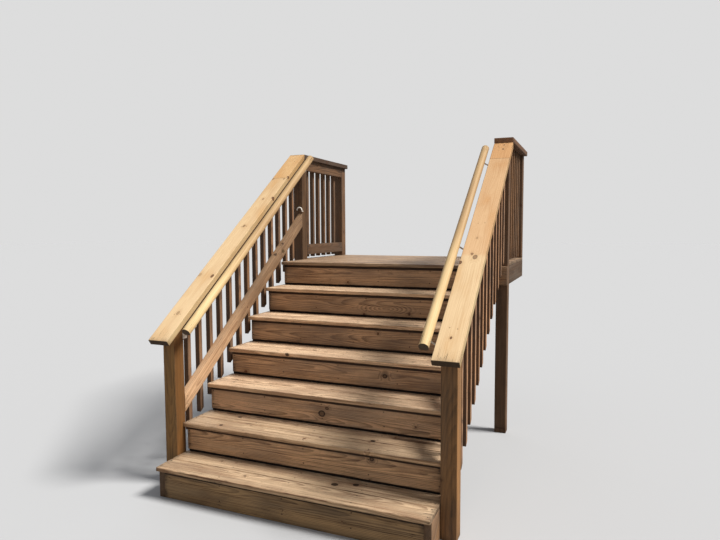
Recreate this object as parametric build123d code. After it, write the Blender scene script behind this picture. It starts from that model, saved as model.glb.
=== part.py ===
from build123d import *
import math
import os

# Wooden deck stairs: a flight of six treads with a landing, guards on both sides and round handrails.
# Millimetres. X runs along the treads, Y goes up the stairs towards the wall and Z is up.
# The origin is on the ground, at the middle of the footprint.

# Steps
riser_count = 7
rise = 187.0
run = 245.0
stair_width = 1650.0

# Boards of the treads, risers and landing
board_width = 140.0
board_thickness = 25.0
board_seam = 3.0
board_edge_round = 5.0
tread_overhang = 28.0
landing_board_count = 9
riser_thickness = 25.0
riser_end_setback = 12.0

# Framing timber
plank_thickness = 38.0
stringer_depth = 286.0
joist_depth = 140.0

# Posts
post_size = 86.0
post_edge_round = 5.0
lower_post_setback = 185.0
upper_post_setback = 370.0
post_notch_clearance = 2.0
cut_overshoot = 1.0

# Guards
cap_width = 140.0
cap_inner_overhang = 26.0
cap_edge_round = 4.0
cap_low_end_reach = 95.0
left_cap_low_height = 914.0
right_cap_low_height = 938.0
left_guard_height = 897.0
right_guard_height = 933.0
rail_depth = 89.0
lower_rail_drop = 612.0
return_rail_clearance = 40.0
return_baluster_clearance = 15.0
left_rail_splice_from_top = 360.0
splice_gap = 1.0

# Balusters
baluster_size = 32.0
baluster_gap_aim = 81.0
baluster_tail = 210.0

# Handrails and their brackets
handrail_diameter = 54.0
handrail_flat_depth = 6.0
handrail_offset = 89.0
handrail_drop = 30.0
handrail_low_setback = 2.0
handrail_top_gap = 8.0
bracket_end_distance = 93.0
middle_bracket_distance = 645.0
bracket_rod_diameter = 10.0
bracket_bend_radius = 16.0
bracket_knee_drop = 48.0
bracket_drop = 97.0
bracket_plate_thickness = 4.0
bracket_plate_width = 36.0
bracket_plate_height = 58.0
saddle_length = 60.0
saddle_width = 22.0
saddle_thickness = 3.0

# The planks that carry the treads, from left to right
framing_names = ("left", "left_inner", "middle", "right_inner", "right")

# Places that follow from the sizes above
tread_depth = 2 * board_width + board_seam
riser_back = tread_overhang + riser_thickness
landing_height = riser_count * rise
tread_count = riser_count - 1
landing_depth = landing_board_count * board_width + (landing_board_count - 1) * board_seam
overall_depth = tread_count * run + landing_depth
front = -overall_depth / 2
landing_front = front + tread_count * run
wall_plane = front + overall_depth
half_width = stair_width / 2
post_outer = half_width + post_size
lower_post_front = front + lower_post_setback
lower_post_back = lower_post_front + post_size
upper_post_front = landing_front + upper_post_setback
upper_post_back = upper_post_front + post_size
wall_post_front = wall_plane - post_size
rim_front = upper_post_front - plank_thickness
ledger_front = wall_plane - plank_thickness
frame_top = landing_height - board_thickness
frame_bottom = frame_top - joist_depth
cap_inner = half_width - cap_inner_overhang
cap_outer = cap_inner + cap_width
rail_inner = half_width
rail_outer = rail_inner + plank_thickness
baluster_outer = rail_outer + baluster_size
handrail_x = half_width - handrail_offset
cap_low_y = lower_post_front - cap_low_end_reach
handrail_low_y = lower_post_front + handrail_low_setback
handrail_high_y = upper_post_front - handrail_top_gap


def block(x_low, x_high, y_low, y_high, z_low, z_high):
    """A square-edged block between six places."""
    size = (x_high - x_low, y_high - y_low, z_high - z_low)
    return Pos(x_low, y_low, z_low) * Box(*size, align=(Align.MIN, Align.MIN, Align.MIN))


def side_plate(points, x_low, x_high):
    """A plate with an outline of (y, z) points, as seen from the side, between two x places."""
    outline = Plane.YZ.offset(x_low) * Polygon(*points, align=None)
    return extrude(outline, amount=x_high - x_low, dir=(1, 0, 0))


def span(side, inner, outer):
    """The lower and upper x of something between two distances from the middle, on one side."""
    return (inner, outer) if side > 0 else (-outer, -inner)


def eased(solid, axis, radius):
    """The solid with its edges along one axis rounded."""
    return fillet(solid.edges().filter_by(axis), radius)


def walking_board(x_low, x_high, y_low, y_high, z_top):
    """One flat board to walk on, with rounded long edges."""
    board = block(x_low, x_high, y_low, y_high, z_top - board_thickness, z_top)
    return eased(board, Axis.X, board_edge_round)


def tread(number):
    """Two boards side by side, counted from 1 at the bottom."""
    nosing = front + (number - 1) * run
    z_top = number * rise
    second = nosing + board_width + board_seam
    return [
        walking_board(-half_width, half_width, nosing, nosing + board_width, z_top),
        walking_board(-half_width, half_width, second, second + board_width, z_top),
    ]


def riser(number):
    """One upright board on the tread below. The lowest one stands between the outer stringers."""
    face = front + (number - 1) * run + tread_overhang
    z_high = number * rise - board_thickness
    half = half_width - (plank_thickness if number == 1 else riser_end_setback)
    return block(-half, half, face, face + riser_thickness, (number - 1) * rise, z_high)


def stringer(x_low, first_cut):
    """A sawn plank with a notch for each tread and one for the front of the landing."""
    points = [(front + first_cut, 0.0)]
    for step in range(riser_count):
        cut = front + (first_cut if step == 0 else step * run + riser_back)
        seat = (step + 1) * rise - board_thickness
        points.append((cut, seat))
        if step < riser_count - 1:
            points.append((front + (step + 1) * run + riser_back, seat))
    points.append((rim_front, frame_top))
    pitch = rise / run
    plumb_depth = stringer_depth * math.hypot(1.0, pitch)
    bottom_at_front = rise - board_thickness - riser_back * pitch - plumb_depth
    points.append((rim_front, bottom_at_front + (rim_front - front) * pitch))
    points.append((front - bottom_at_front / pitch, 0.0))
    return side_plate(points, x_low, x_low + plank_thickness)


def framing_places():
    """The lower x of each stringer and joist, evenly spaced from the left to the right."""
    left = -half_width
    right = half_width - plank_thickness
    gaps = len(framing_names) - 1
    return [left + (right - left) * index / gaps for index in range(gaps + 1)]


def landing_boards():
    """Boards along the stairs' width, notched or cut short beside the upper posts."""
    boards = []
    for index in range(landing_board_count):
        y_low = landing_front + index * (board_width + board_seam)
        y_high = y_low + board_width
        reach = half_width if y_high <= upper_post_back else post_outer
        board = walking_board(-reach, reach, y_low, y_high, landing_height)
        if y_low < upper_post_back < y_high:
            notch = upper_post_back + post_notch_clearance
            for side in (-1, 1):
                x_low, x_high = span(side, half_width - post_notch_clearance, post_outer + cut_overshoot)
                z_low = landing_height - board_thickness - cut_overshoot
                z_high = landing_height + cut_overshoot
                board -= block(x_low, x_high, y_low - cut_overshoot, notch, z_low, z_high)
        boards.append(board)
    return boards


def landing_cross_plank(y_low):
    """A plank on edge across the whole landing."""
    y_high = y_low + plank_thickness
    return block(-post_outer, post_outer, y_low, y_high, frame_bottom, frame_top)


def landing_side_rim(side):
    """The plank that closes one side of the landing, behind the upper post."""
    x_low, x_high = span(side, post_outer - plank_thickness, post_outer)
    return block(x_low, x_high, upper_post_back, ledger_front, frame_bottom, frame_top)


def landing_joists():
    """Joists in line with the stringers, from the front rim to the ledger."""
    return [
        block(x, x + plank_thickness, upper_post_front, ledger_front, frame_bottom, frame_top)
        for x in framing_places()
    ]


class Slope:
    """The line of one sloping guard: heights are measured along the top face of its cap."""

    def __init__(self, low_height, high_height):
        self.low_y = cap_low_y
        self.low_z = low_height
        self.high_y = upper_post_front
        self.high_z = high_height
        self.pitch = (self.high_z - self.low_z) / (self.high_y - self.low_y)
        self.length = math.hypot(self.high_y - self.low_y, self.high_z - self.low_z)
        self.along = ((self.high_y - self.low_y) / self.length, (self.high_z - self.low_z) / self.length)
        self.stretch = math.hypot(1.0, self.pitch)

    def height(self, y, drop=0.0):
        """The height at y of a line that runs a plumb distance under the cap's top face."""
        return self.low_z + (y - self.low_y) * self.pitch - drop

    def band(self, y_low, y_high, top_drop, bottom_drop):
        """The side outline of a sloping piece with plumb ends."""
        return [
            (y_low, self.height(y_low, bottom_drop)),
            (y_high, self.height(y_high, bottom_drop)),
            (y_high, self.height(y_high, top_drop)),
            (y_low, self.height(y_low, top_drop)),
        ]


def level_cap_bottom(side):
    """The height of the underside of the level cap on one side."""
    guard_height = right_guard_height if side > 0 else left_guard_height
    return landing_height + guard_height - plank_thickness


# The left cap ends flush with the top of the level cap, the right one just under the level cap
left_slope = Slope(left_cap_low_height, level_cap_bottom(-1) + plank_thickness)
right_slope = Slope(right_cap_low_height, level_cap_bottom(1))


def slope_of(side):
    """The slope of the guard on one side."""
    return right_slope if side > 0 else left_slope


def cap_drop(slope):
    """The plumb thickness of the sloping cap."""
    return plank_thickness * slope.stretch


def lower_post(side):
    """A post from the ground to the underside of the sloping cap, with its top cut on the slope."""
    slope = slope_of(side)
    drop = cap_drop(slope)
    points = [
        (lower_post_front, 0.0),
        (lower_post_back, 0.0),
        (lower_post_back, slope.height(lower_post_back, drop)),
        (lower_post_front, slope.height(lower_post_front, drop)),
    ]
    return eased(side_plate(points, *span(side, half_width, post_outer)), Axis.Z, post_edge_round)


def square_post(side, y_low, z_low, z_high):
    """A post with square ends on one side of the stairs."""
    x_low, x_high = span(side, half_width, post_outer)
    post = block(x_low, x_high, y_low, y_low + post_size, z_low, z_high)
    return eased(post, Axis.Z, post_edge_round)


def sloping_cap(side):
    """The flat plank on top of the sloping guard: square at its low end, plumb at the upper post."""
    slope = slope_of(side)
    along_y, along_z = slope.along
    low_underside = (slope.low_y + plank_thickness * along_z, slope.low_z - plank_thickness * along_y)
    points = [
        (slope.low_y, slope.low_z),
        low_underside,
        (slope.high_y, slope.height(slope.high_y, cap_drop(slope))),
        (slope.high_y, slope.high_z),
    ]
    plank = side_plate(points, *span(side, cap_inner, cap_outer))
    return fillet(plank.edges().sort_by(SortBy.LENGTH)[-4:], cap_edge_round)


def upper_sloping_rail(side):
    """The plank on edge under the sloping cap, between the posts."""
    slope = slope_of(side)
    top = cap_drop(slope)
    outline = slope.band(lower_post_back, upper_post_front, top, top + rail_depth * slope.stretch)
    return side_plate(outline, *span(side, rail_inner, rail_outer))


def lower_sloping_rail(side):
    """The plank on edge near the treads. On the left it is spliced from two lengths."""
    slope = slope_of(side)
    top = lower_rail_drop - rail_depth * slope.stretch
    x_places = span(side, rail_inner, rail_outer)
    if side > 0:
        return side_plate(slope.band(lower_post_back, upper_post_front, top, lower_rail_drop), *x_places)
    splice = upper_post_front - left_rail_splice_from_top
    pieces = []
    for y_low, y_high in ((lower_post_back, splice), (splice + splice_gap, upper_post_front)):
        pieces.append(side_plate(slope.band(y_low, y_high, top, lower_rail_drop), *x_places))
    return pieces


def baluster_places(y_low, y_high):
    """The near faces of the bars between two posts, with equal gaps as close as can be to the aim."""
    length = y_high - y_low
    count = round((length - baluster_gap_aim) / (baluster_size + baluster_gap_aim))
    gap = (length - count * baluster_size) / (count + 1)
    return [y_low + gap + index * (gap + baluster_size) for index in range(count)]


def sloping_balusters(side):
    """Plumb square bars outside the sloping rails, cut on the slope at both ends."""
    slope = slope_of(side)
    bars = []
    for y in baluster_places(lower_post_back, upper_post_front):
        outline = slope.band(y, y + baluster_size, cap_drop(slope), lower_rail_drop + baluster_tail)
        bars.append(side_plate(outline, *span(side, rail_outer, baluster_outer)))
    return bars


def return_cap(side):
    """The level cap beside the landing, from the upper post to the wall."""
    x_low, x_high = span(side, cap_inner, cap_outer)
    z_low = level_cap_bottom(side)
    plank = block(x_low, x_high, upper_post_front, wall_plane, z_low, z_low + plank_thickness)
    return eased(plank, Axis.Y, cap_edge_round)


def return_rail(side, z_low):
    """A level plank on edge beside the landing, between the upper post and the wall post."""
    x_low, x_high = span(side, rail_inner, rail_outer)
    return block(x_low, x_high, upper_post_back, wall_post_front, z_low, z_low + rail_depth)


def return_balusters(side):
    """Plumb square bars outside the level rails."""
    x_low, x_high = span(side, rail_outer, baluster_outer)
    z_low = landing_height + return_baluster_clearance
    bars = []
    for y in baluster_places(upper_post_back, wall_post_front):
        bars.append(block(x_low, x_high, y, y + baluster_size, z_low, level_cap_bottom(side)))
    return bars


def handrail_plane(side, y):
    """A plane square to the handrail's middle line at y, with its y axis pointing down to the treads."""
    slope = slope_of(side)
    place = (side * handrail_x, y, slope.height(y, handrail_drop))
    return Plane(origin=place, x_dir=(1, 0, 0), z_dir=(0, *slope.along))


def handrail(side):
    """A round wooden rail with a flat underside, square at both ends."""
    length = (handrail_high_y - handrail_low_y) * slope_of(side).stretch
    radius = handrail_diameter / 2
    below = Pos(0, 2 * radius - handrail_flat_depth) * Rectangle(2 * radius, 2 * radius)
    profile = Circle(radius) - below
    return extrude(handrail_plane(side, handrail_low_y) * profile, amount=length)


def bracket(side, y):
    """A bent rod from a saddle under the handrail out to a plumb plate on the upper sloping rail."""
    slope = slope_of(side)
    saddle_place = handrail_diameter / 2 - handrail_flat_depth + saddle_thickness / 2
    saddle = Pos(0, saddle_place) * Box(saddle_width, saddle_thickness, saddle_length)
    middle = slope.height(y, handrail_drop)
    rod_radius = bracket_rod_diameter / 2
    rod_top = middle - saddle_place * slope.stretch - rod_radius * slope.pitch
    plate_x = side * (rail_inner - bracket_plate_thickness / 2)
    plate_face = side * (rail_inner - bracket_plate_thickness)
    plate_size = (bracket_plate_thickness, bracket_plate_width, bracket_plate_height)
    plate = Pos(plate_x, y, middle - bracket_drop) * Box(*plate_size)
    corners = [
        (side * handrail_x, y, rod_top),
        (side * handrail_x, y, middle - bracket_knee_drop),
        (plate_face, y, middle - bracket_drop),
    ]
    start = Plane(origin=corners[0], z_dir=(0, 0, -1))
    path = FilletPolyline(*corners, radius=bracket_bend_radius)
    rod = sweep(start * Circle(rod_radius), path=path)
    return rod + plate + handrail_plane(side, y) * saddle


def brackets(side):
    """The brackets of one handrail: one near each end and one between them."""
    lowest = handrail_low_y + bracket_end_distance
    highest = handrail_high_y - bracket_end_distance
    return [bracket(side, y) for y in (lowest, lowest + middle_bracket_distance, highest)]


def save(name, solids):
    """Write one node, from one solid or from a list of solids that lie apart."""
    if isinstance(solids, list):
        solids = Compound(children=[piece.solid() for piece in solids])
    export_step(solids, f"parts/{name}.step")


os.makedirs("parts", exist_ok=True)

for number in range(1, tread_count + 1):
    save(f"tread_{number}", tread(number))
save("risers", [riser(number) for number in range(1, riser_count + 1)])

for name, x in zip(framing_names, framing_places()):
    outer = name in (framing_names[0], framing_names[-1])
    save(f"{name}_stringer", stringer(x, tread_overhang if outer else riser_back))

save("landing_boards", landing_boards())
save("landing_front_rim", landing_cross_plank(rim_front))
save("landing_joists", landing_joists())
save("landing_ledger", landing_cross_plank(ledger_front))

for side, word in ((-1, "left"), (1, "right")):
    save(f"{word}_landing_rim", landing_side_rim(side))
    save(f"lower_{word}_post", lower_post(side))
    save(f"upper_{word}_post", square_post(side, upper_post_front, 0.0, level_cap_bottom(side)))
    save(f"wall_{word}_post", square_post(side, wall_post_front, landing_height, level_cap_bottom(side)))
    save(f"{word}_sloping_cap", sloping_cap(side))
    save(f"{word}_upper_sloping_rail", upper_sloping_rail(side))
    save(f"{word}_lower_sloping_rail", lower_sloping_rail(side))
    save(f"{word}_sloping_balusters", sloping_balusters(side))
    save(f"{word}_return_cap", return_cap(side))
    save(f"{word}_return_top_rail", return_rail(side, level_cap_bottom(side) - rail_depth))
    save(f"{word}_return_bottom_rail", return_rail(side, landing_height + return_rail_clearance))
    save(f"{word}_return_balusters", return_balusters(side))
    save(f"{word}_handrail", handrail(side))
    save(f"{word}_handrail_brackets", brackets(side))
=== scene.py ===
"""The looks of the wooden deck stairs.

Every plank is a copy of its solid in the frame with eased edges, a little warp and wood that follows
its own length. Metres; +Y goes up the stairs, the origin is on the ground.
"""

import math
import random
from types import SimpleNamespace

import bmesh
import bpy
from mathutils import Matrix, Vector, noise
from mathutils.bvhtree import BVHTree


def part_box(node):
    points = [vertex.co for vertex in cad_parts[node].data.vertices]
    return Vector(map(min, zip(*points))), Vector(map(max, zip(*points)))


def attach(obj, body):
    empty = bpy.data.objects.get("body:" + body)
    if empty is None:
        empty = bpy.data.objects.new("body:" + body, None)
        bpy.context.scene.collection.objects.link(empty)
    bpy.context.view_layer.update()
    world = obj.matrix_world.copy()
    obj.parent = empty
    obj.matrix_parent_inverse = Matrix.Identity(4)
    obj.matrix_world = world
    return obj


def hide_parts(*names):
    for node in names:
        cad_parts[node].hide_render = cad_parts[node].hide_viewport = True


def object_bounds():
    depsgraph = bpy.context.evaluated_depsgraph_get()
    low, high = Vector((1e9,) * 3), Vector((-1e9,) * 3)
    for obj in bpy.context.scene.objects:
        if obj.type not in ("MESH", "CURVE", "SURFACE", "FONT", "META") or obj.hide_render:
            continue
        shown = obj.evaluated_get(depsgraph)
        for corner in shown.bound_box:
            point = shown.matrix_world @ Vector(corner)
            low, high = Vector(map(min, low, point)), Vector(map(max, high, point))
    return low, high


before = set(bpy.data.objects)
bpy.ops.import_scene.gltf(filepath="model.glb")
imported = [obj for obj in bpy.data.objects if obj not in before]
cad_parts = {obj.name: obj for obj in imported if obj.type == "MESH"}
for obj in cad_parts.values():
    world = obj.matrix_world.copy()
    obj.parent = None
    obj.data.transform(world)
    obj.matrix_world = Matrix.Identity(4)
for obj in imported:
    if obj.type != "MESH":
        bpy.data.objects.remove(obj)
cad_low, cad_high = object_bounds()

# Camera

CAMERA_PLACE = (1.524, -3.920, 1.570)
CAMERA_HEADING = math.radians(22.49)
CAMERA_TILT = math.radians(-4.11)
CAMERA_ROLL = math.radians(-0.25)
CAMERA_LENS = 28.58
CAMERA_FILM = 36


def add_camera():
    """The camera where the photograph was taken."""
    data = bpy.data.cameras.new("camera")
    data.sensor_width = CAMERA_FILM
    data.lens = CAMERA_LENS
    camera = bpy.data.objects.new("camera", data)
    level = math.cos(CAMERA_TILT)
    sine, cosine = math.sin(CAMERA_HEADING), math.cos(CAMERA_HEADING)
    forward = Vector((-sine * level, cosine * level, math.sin(CAMERA_TILT)))
    right = Vector((cosine, sine, 0))
    up = right.cross(forward)
    rolled_right = right * math.cos(CAMERA_ROLL) + up * math.sin(CAMERA_ROLL)
    rolled_up = up * math.cos(CAMERA_ROLL) - right * math.sin(CAMERA_ROLL)
    turn = Matrix((rolled_right, rolled_up, -forward)).transposed().to_4x4()
    camera.matrix_world = Matrix.Translation(CAMERA_PLACE) @ turn
    bpy.context.scene.collection.objects.link(camera)
    bpy.context.scene.camera = camera


add_camera()

# Sizes and places, read from the frame

X, Y, Z = 0, 1, 2
LOW, HIGH = 0, 1
SIDES = {"left": -1, "right": 1}


def bound(node, end, axis):
    """Where a node begins (LOW) or ends (HIGH) along an axis."""
    return round(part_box(node)[end][axis], 5)


def middle(node, axis):
    """The middle of a node along an axis."""
    return (bound(node, LOW, axis) + bound(node, HIGH, axis)) / 2


def cap_ends(word):
    """The top of a sloping cap at its low and at its high end, as (y, z)."""
    places = [vert.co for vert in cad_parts[f"{word}_sloping_cap"].data.vertices]
    low = min(places, key=lambda place: place.y)
    high = max(places, key=lambda place: place.z)
    return [(round(place.y, 5), round(place.z, 5)) for place in (low, high)]


FRONT = bound("tread_1", LOW, Y)
RUN = bound("tread_2", LOW, Y) - FRONT
RISE = bound("tread_2", HIGH, Z) - bound("tread_1", HIGH, Z)
SEAM = 0.003
BOARD = (bound("tread_1", HIGH, Y) - FRONT - SEAM) / 2
RISER_SETBACK = bound("risers", LOW, Y) - FRONT
LANDING_FRONT = bound("landing_boards", LOW, Y)
LANDING_TOP = bound("landing_boards", HIGH, Z)
LOWER_POST_BACK = bound("lower_left_post", HIGH, Y)
UPPER_POST_FRONT = bound("upper_left_post", LOW, Y)
UPPER_POST_BACK = bound("upper_left_post", HIGH, Y)
WALL_POST_FRONT = bound("wall_left_post", LOW, Y)
STRINGERS = ("left", "left_inner", "middle", "right_inner", "right")
STRINGER_PLACES = [middle(f"{word}_stringer", X) for word in STRINGERS]
CAP_MIDDLE = middle("right_sloping_cap", X)
CAP_ENDS = {word: cap_ends(word) for word in SIDES}


def on_tread(number, x, back, depth=0.0):
    """A place on a tread, back from its nosing."""
    return (x, FRONT + (number - 1) * RUN + back, number * RISE - depth)


def on_riser(number, x, height):
    """A place on a riser's face, above the tread at its foot."""
    return (x, FRONT + (number - 1) * RUN + RISER_SETBACK, (number - 1) * RISE + height)


def cap_pitch(word):
    """The rise of a sloping cap over its run."""
    (low_y, low_z), (high_y, high_z) = CAP_ENDS[word]
    return (high_z - low_z) / (high_y - low_y)


def cap_height(word, y):
    """The height of the top of a sloping cap at y."""
    low_y, low_z = CAP_ENDS[word][0]
    return low_z + (y - low_y) * cap_pitch(word)


def on_cap(word, out, up, depth=0.0):
    """A place on or under a sloping cap, out from the middle and up in y from the cap's low end."""
    y = CAP_ENDS[word][0][0] + up
    return (SIDES[word] * out, y, cap_height(word, y) - depth)


# Shader building


class Graph:
    """Builds a material's nodes. Each call returns the socket that holds its result."""

    def __init__(self, name):
        self.material = bpy.data.materials.new(name)
        self.material.use_nodes = True
        self.nodes = self.material.node_tree.nodes
        self.links = self.material.node_tree.links
        self.shader = self.nodes["Principled BSDF"]

    def set(self, socket, value):
        if isinstance(value, bpy.types.NodeSocket):
            self.links.new(value, socket)
        elif value is not None:
            socket.default_value = value

    def math(self, operation, a, b=None, c=None, clamp=False):
        node = self.nodes.new("ShaderNodeMath")
        node.operation = operation
        node.use_clamp = clamp
        for socket, value in zip(node.inputs, (a, b, c)):
            self.set(socket, value)
        return node.outputs[0]

    def times(self, a, b, clamp=False):
        return self.math("MULTIPLY", a, b, clamp=clamp)

    def plus(self, base, value, factor):
        """Adds a value times a factor to a base."""
        return self.math("MULTIPLY_ADD", value, factor, base)

    def less(self, a, b):
        return self.math("SUBTRACT", a, b)

    def most(self, a, b):
        return self.math("MAXIMUM", a, b)

    def vector(self, operation, a, b=None):
        node = self.nodes.new("ShaderNodeVectorMath")
        node.operation = operation
        self.set(node.inputs[0], a)
        self.set(node.inputs[1], b)
        return node.outputs["Value" if operation in ("LENGTH", "DOT_PRODUCT") else "Vector"]

    def split(self, vector):
        node = self.nodes.new("ShaderNodeSeparateXYZ")
        self.set(node.inputs[0], vector)
        return tuple(node.outputs)

    def join(self, x, y, z):
        node = self.nodes.new("ShaderNodeCombineXYZ")
        for socket, value in zip(node.inputs, (x, y, z)):
            self.set(socket, value)
        return node.outputs[0]

    def attribute(self, name, output="Vector"):
        node = self.nodes.new("ShaderNodeAttribute")
        node.attribute_name = name
        return node.outputs[output]

    def geometry(self, output):
        return self.nodes.new("ShaderNodeNewGeometry").outputs[output]

    def noise(self, vector, scale, detail=2.0, roughness=0.5, output="Fac"):
        node = self.nodes.new("ShaderNodeTexNoise")
        self.set(node.inputs["Vector"], vector)
        node.inputs["Scale"].default_value = scale
        node.inputs["Detail"].default_value = detail
        node.inputs["Roughness"].default_value = roughness
        return node.outputs[output]

    def step(self, value, low, high, out_low=0.0, out_high=1.0):
        """Maps value smoothly from low..high to out_low..out_high and stops at both ends."""
        node = self.nodes.new("ShaderNodeMapRange")
        node.interpolation_type = "SMOOTHSTEP"
        for socket, number in zip(node.inputs, (value, low, high, out_low, out_high)):
            self.set(socket, number)
        return node.outputs[0]

    def mix(self, share, a, b, blend="MIX"):
        node = self.nodes.new("ShaderNodeMix")
        node.data_type = "RGBA"
        node.blend_type = blend
        self.set(node.inputs["Factor"], share)
        self.set(node.inputs[6], a)
        self.set(node.inputs[7], b)
        return node.outputs[2]

    def dye(self, share, tint, factor):
        """Multiplies a share of a tint by a factor."""
        return self.mix(share, tint, self.mix(1.0, tint, factor, "MULTIPLY"))

    def bump(self, height, distance, strength):
        node = self.nodes.new("ShaderNodeBump")
        node.inputs["Strength"].default_value = strength
        node.inputs["Distance"].default_value = distance
        self.set(node.inputs["Height"], height)
        self.links.new(node.outputs[0], self.shader.inputs["Normal"])


def colour(red, green, blue):
    """A colour given as 0 to 255 as seen on a screen, for a shader socket."""
    def linear(value):
        value /= 255
        return value / 12.92 if value <= 0.04045 else ((value + 0.055) / 1.055) ** 2.4
    return (linear(red), linear(green), linear(blue), 1.0)


# Wood

RING_WIDTH = 0.006
RING_WANDER = 0.036
RING_RIPPLE = 0.004
RING_BEND = 0.009
PITH_SPREAD = 1.4
PITH_NEAREST = 0.004
PITH_RANGE = 0.06
PITH_SLOPE = 0.08
ARC_STEP = 0.008
ARC_WANDER = 0.02
ARC_SHAPE = (0.24, 0.0, 1.0)
KNOT_SPACING_ALONG = 0.33
KNOT_SPACING_ACROSS = 0.12
KNOT_SMALLEST = 0.005
KNOT_RANGE = 0.010
KNOT_WOBBLE = 0.007
WOBBLE_SCALE = 90.0
PATTERN_SHIFTS = (61.0, 47.0, 53.0)
CAP_REACH = 0.12
DIRT_WIDTH = 0.007
END_DIRT_WIDTH = 0.035
GRAIN_RELIEF = 0.0007
SILVER = colour(136, 122, 110)
DIRT = colour(40, 30, 24)
CRACK = colour(24, 17, 13)
SHADE = colour(34, 20, 10)
RED_KNOT = colour(96, 52, 26)
BLACK_KNOT = colour(38, 22, 14)

# The rim and the heart of a knot, and how much the heart shows
DARK_KNOT = (colour(16, 10, 7), colour(70, 44, 28), 0.3)
RINGED_KNOT = (colour(20, 13, 9), colour(112, 85, 64), 0.9)
BROWN_KNOT = (colour(64, 37, 22), colour(142, 92, 56), 0.55)

# Each noise's repeats in a metre along and across the grain, and its detail and roughness if not 2 and 0.5
PATTERNS = {
    "wander": (1.6, 7.0),
    "ripple": (7.0, 40.0),
    "streak": (1.2, 85.0, 4.0, 0.65),
    "hair": (9.0, 420.0, 2.0, 0.6),
    "blotch": (3.0, 9.0),
    "patch": (1.5, 22.0, 4.0, 0.7),
    "silver": (2.2, 16.0, 3.0, 0.6),
    "ragged": (14.0, 60.0, 3.0),
    "worn": (14.0, 14.0),
    "crack": (2.2, 95.0, 1.0),
    "checked": (2.0, 20.0),
}

PLAIN = {
    # A second tone, which comes in blotches
    "stain": None,
    # How dark the streaks, the fibres and the year rings are
    "streaks": 0.5,
    "fibre": 0.3,
    "rings": 0.5,
    # How much lighter or darker one plank is than the next
    "tone": 0.12,
    # How dirty the edges and the ends are
    "soiled": 0.4,
    # How far the sawn ends take on a tint of their own
    "end_share": 0.5,
    "end_tint": (70, 54, 42),
    # The share of the places on a grid that have a knot
    "knots": 0.35,
    # Single knots: (place, radius, strength), and the stretch of the distance to them, for oval ones
    "placed_knots": (),
    "knot_stretch": (1.0, 1.0, 1.0),
    "knot_tints": DARK_KNOT,
    # Nested arcs along x, as where a saw cuts a bent tree: (place, reach)
    "figures": (),
    # Seams across a cap: (place, direction, tint beyond it, blur, or 0 for a butt joint)
    "splices": (),
    # Tints that come in from one place to another along y, painted light and shade: (from, to, tint)
    "fades": (),
    # Ragged patches: (place, reach, tint)
    "stains": (),
    # Tints of the faces that look along the stairs or up, and of those that look sideways: painted light
    # and shade, lighter where the sun falls and darker in shade
    "sides": (),
    # A tint of the faces that look down the stairs, painted light on fronts that lie in shade
    "front": None,
    # The height of the dark band along a plank's upper edge, in the shade of a nosing
    "shaded_top": 0.0,
    # The share of grey weathering, and of the wood with fine cracks away from the ends
    "grey": 0.0,
    "checks": 0.0,
    "roughness": 0.6,
}


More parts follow.
